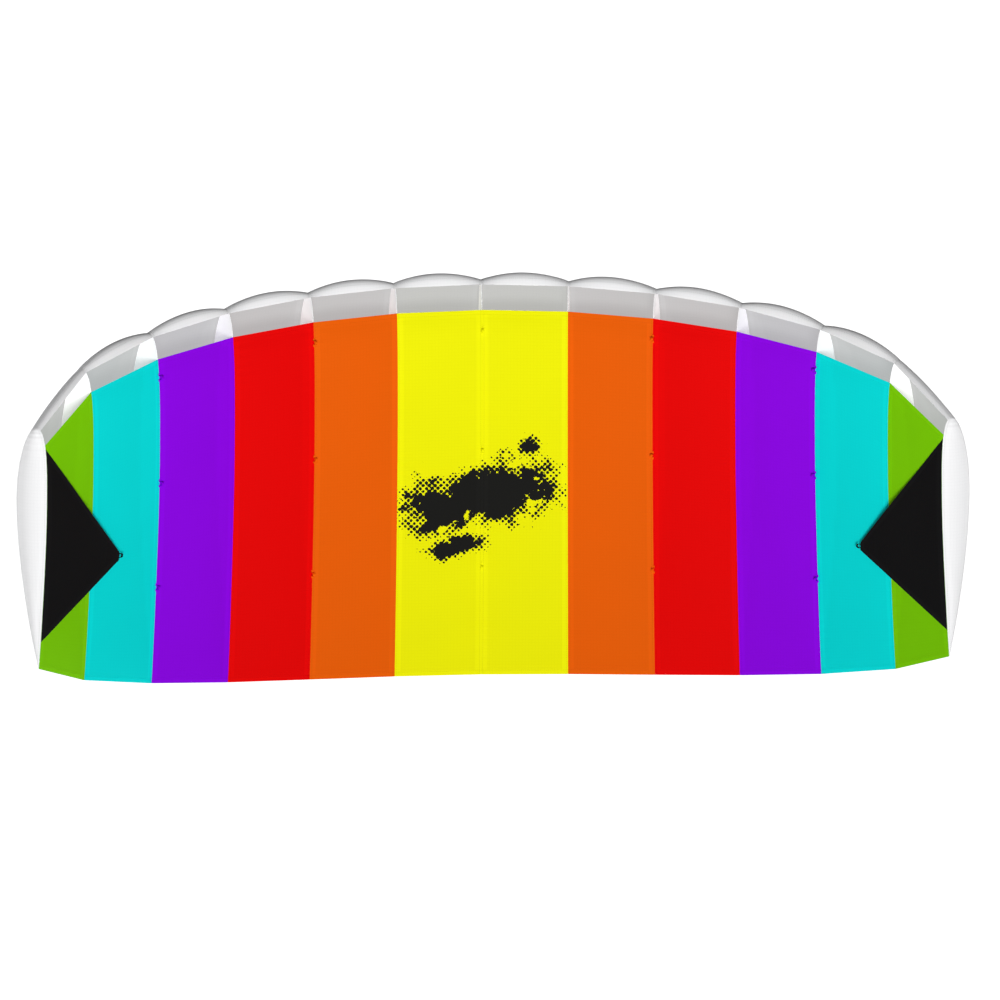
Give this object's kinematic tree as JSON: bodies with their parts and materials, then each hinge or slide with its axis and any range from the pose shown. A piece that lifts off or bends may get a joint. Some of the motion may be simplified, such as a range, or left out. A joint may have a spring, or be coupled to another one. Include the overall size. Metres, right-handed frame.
{
  "type": "parafoil kite",
  "caption": "Ram-air parafoil kite: open-nosed cloth cells in an arc, white top skin, rainbow bottom panels, and a black flap along each tip.",
  "frame": {"origin": "hole of the centre front bridle loop, on the bottom skin of the centre rib, where the kite is held", "axes": "+X along the span to the right as the pilot sees it, +Y from the bottom skin to the top skin, +Z from the trailing edge to the leading edge"},
  "size_m": [1.4276, 0.3962, 0.6222],
  "materials": {
    "white_ripstop": "coated white ripstop polyester, soft sheen",
    "rib_cloth": "uncoated white ripstop, matte",
    "black_ripstop": "black ripstop polyester, matte",
    "yellow_ripstop": "yellow coated ripstop polyester, soft sheen",
    "orange_ripstop": "orange coated ripstop polyester, soft sheen",
    "red_ripstop": "red coated ripstop polyester, soft sheen",
    "purple_ripstop": "purple coated ripstop polyester, soft sheen",
    "cyan_ripstop": "cyan coated ripstop polyester, soft sheen",
    "green_ripstop": "green coated ripstop polyester, soft sheen"
  },
  "bodies": {
    "centre_section": {"rib_centre": "rib_cloth", "bridle_loop_centre_front": "yellow_ripstop", "bridle_loop_centre_middle": "yellow_ripstop", "bridle_loop_centre_rear": "yellow_ripstop", "top_panel_left_1": "white_ripstop", "bottom_panel_left_1": "yellow_ripstop", "rib_left_1": "rib_cloth", "top_panel_right_1": "white_ripstop", "bottom_panel_right_1": "yellow_ripstop", "rib_right_1": "rib_cloth"},
    "left_section_2": {"top_panel_left_2": "white_ripstop", "bottom_panel_left_2": "orange_ripstop", "rib_left_2": "rib_cloth", "bridle_loop_left_2_front": "orange_ripstop", "bridle_loop_left_2_middle": "orange_ripstop", "bridle_loop_left_2_rear": "orange_ripstop"},
    "left_section_3": {"top_panel_left_3": "white_ripstop", "bottom_panel_left_3": "red_ripstop", "rib_left_3": "rib_cloth"},
    "left_section_4": {"top_panel_left_4": "white_ripstop", "bottom_panel_left_4": "purple_ripstop", "rib_left_4": "rib_cloth", "bridle_loop_left_4_front": "purple_ripstop", "bridle_loop_left_4_middle": "purple_ripstop", "bridle_loop_left_4_rear": "purple_ripstop"},
    "left_section_5": {"top_panel_left_5": "white_ripstop", "bottom_panel_left_5": "cyan_ripstop", "rib_left_5": "rib_cloth"},
    "left_section_6": {"top_panel_left_6": "white_ripstop", "bottom_panel_left_6": "green_ripstop", "tip_rib_left": "rib_cloth"},
    "left_flap": {"stabiliser_flap_left": "black_ripstop", "flap_loop_left": "black_ripstop"},
    "right_section_2": {"top_panel_right_2": "white_ripstop", "bottom_panel_right_2": "orange_ripstop", "rib_right_2": "rib_cloth", "bridle_loop_right_2_front": "orange_ripstop", "bridle_loop_right_2_middle": "orange_ripstop", "bridle_loop_right_2_rear": "orange_ripstop"},
    "right_section_3": {"top_panel_right_3": "white_ripstop", "bottom_panel_right_3": "red_ripstop", "rib_right_3": "rib_cloth"},
    "right_section_4": {"top_panel_right_4": "white_ripstop", "bottom_panel_right_4": "purple_ripstop", "rib_right_4": "rib_cloth", "bridle_loop_right_4_front": "purple_ripstop", "bridle_loop_right_4_middle": "purple_ripstop", "bridle_loop_right_4_rear": "purple_ripstop"},
    "right_section_5": {"top_panel_right_5": "white_ripstop", "bottom_panel_right_5": "cyan_ripstop", "rib_right_5": "rib_cloth"},
    "right_section_6": {"top_panel_right_6": "white_ripstop", "bottom_panel_right_6": "green_ripstop", "tip_rib_right": "rib_cloth"},
    "right_flap": {"stabiliser_flap_right": "black_ripstop", "flap_loop_right": "black_ripstop"}
  },
  "joints": [
    {"name": "left_seam_1", "type": "hinge", "parent": "centre_section", "child": "left_section_2", "pos_m": [-0.13116, 0.01344, -0.23395], "axis": [0, 0, 1], "range_deg": [-3, 5], "stiffness_Nm_per_rad": 0.4},
    {"name": "left_seam_2", "type": "hinge", "parent": "left_section_2", "child": "left_section_3", "pos_m": [-0.26031, -0.00983, -0.23784], "axis": [0, 0, 1], "range_deg": [-3, 5]},
    {"name": "left_seam_3", "type": "hinge", "parent": "left_section_3", "child": "left_section_4", "pos_m": [-0.38489, -0.05023, -0.2434], "axis": [0, 0, 1], "range_deg": [-3, 5]},
    {"name": "left_seam_4", "type": "hinge", "parent": "left_section_4", "child": "left_section_5", "pos_m": [-0.50112, -0.10985, -0.25014], "axis": [0, 0, 1], "range_deg": [-3, 5]},
    {"name": "left_seam_5", "type": "hinge", "parent": "left_section_5", "child": "left_section_6", "pos_m": [-0.60336, -0.19065, -0.25873], "axis": [0, 0, 1], "range_deg": [-3, 5]},
    {"name": "left_flap_hinge", "type": "hinge", "parent": "left_section_6", "child": "left_flap", "pos_m": [-0.66421, -0.28552, -0.30702], "axis": [0, 0, -1], "range_deg": [0, 140]},
    {"name": "right_seam_1", "type": "hinge", "parent": "centre_section", "child": "right_section_2", "pos_m": [0.13116, 0.01344, -0.23395], "axis": [0, 0, -1], "range_deg": [-3, 5], "stiffness_Nm_per_rad": 0.4},
    {"name": "right_seam_2", "type": "hinge", "parent": "right_section_2", "child": "right_section_3", "pos_m": [0.26031, -0.00983, -0.23784], "axis": [0, 0, -1], "range_deg": [-3, 5]},
    {"name": "right_seam_3", "type": "hinge", "parent": "right_section_3", "child": "right_section_4", "pos_m": [0.38489, -0.05023, -0.2434], "axis": [0, 0, -1], "range_deg": [-3, 5]},
    {"name": "right_seam_4", "type": "hinge", "parent": "right_section_4", "child": "right_section_5", "pos_m": [0.50112, -0.10985, -0.25014], "axis": [0, 0, -1], "range_deg": [-3, 5]},
    {"name": "right_seam_5", "type": "hinge", "parent": "right_section_5", "child": "right_section_6", "pos_m": [0.60336, -0.19065, -0.25873], "axis": [0, 0, -1], "range_deg": [-3, 5]},
    {"name": "right_flap_hinge", "type": "hinge", "parent": "right_section_6", "child": "right_flap", "pos_m": [0.66421, -0.28552, -0.30702], "axis": [0, 0, 1], "range_deg": [0, 140]}
  ],
  "couplings": [
    {"joint": "left_seam_2", "follows": "left_seam_1", "ratio": 1},
    {"joint": "left_seam_3", "follows": "left_seam_1", "ratio": 1},
    {"joint": "left_seam_4", "follows": "left_seam_1", "ratio": 1},
    {"joint": "left_seam_5", "follows": "left_seam_1", "ratio": 1},
    {"joint": "right_seam_2", "follows": "right_seam_1", "ratio": 1},
    {"joint": "right_seam_3", "follows": "right_seam_1", "ratio": 1},
    {"joint": "right_seam_4", "follows": "right_seam_1", "ratio": 1},
    {"joint": "right_seam_5", "follows": "right_seam_1", "ratio": 1}
  ]
}
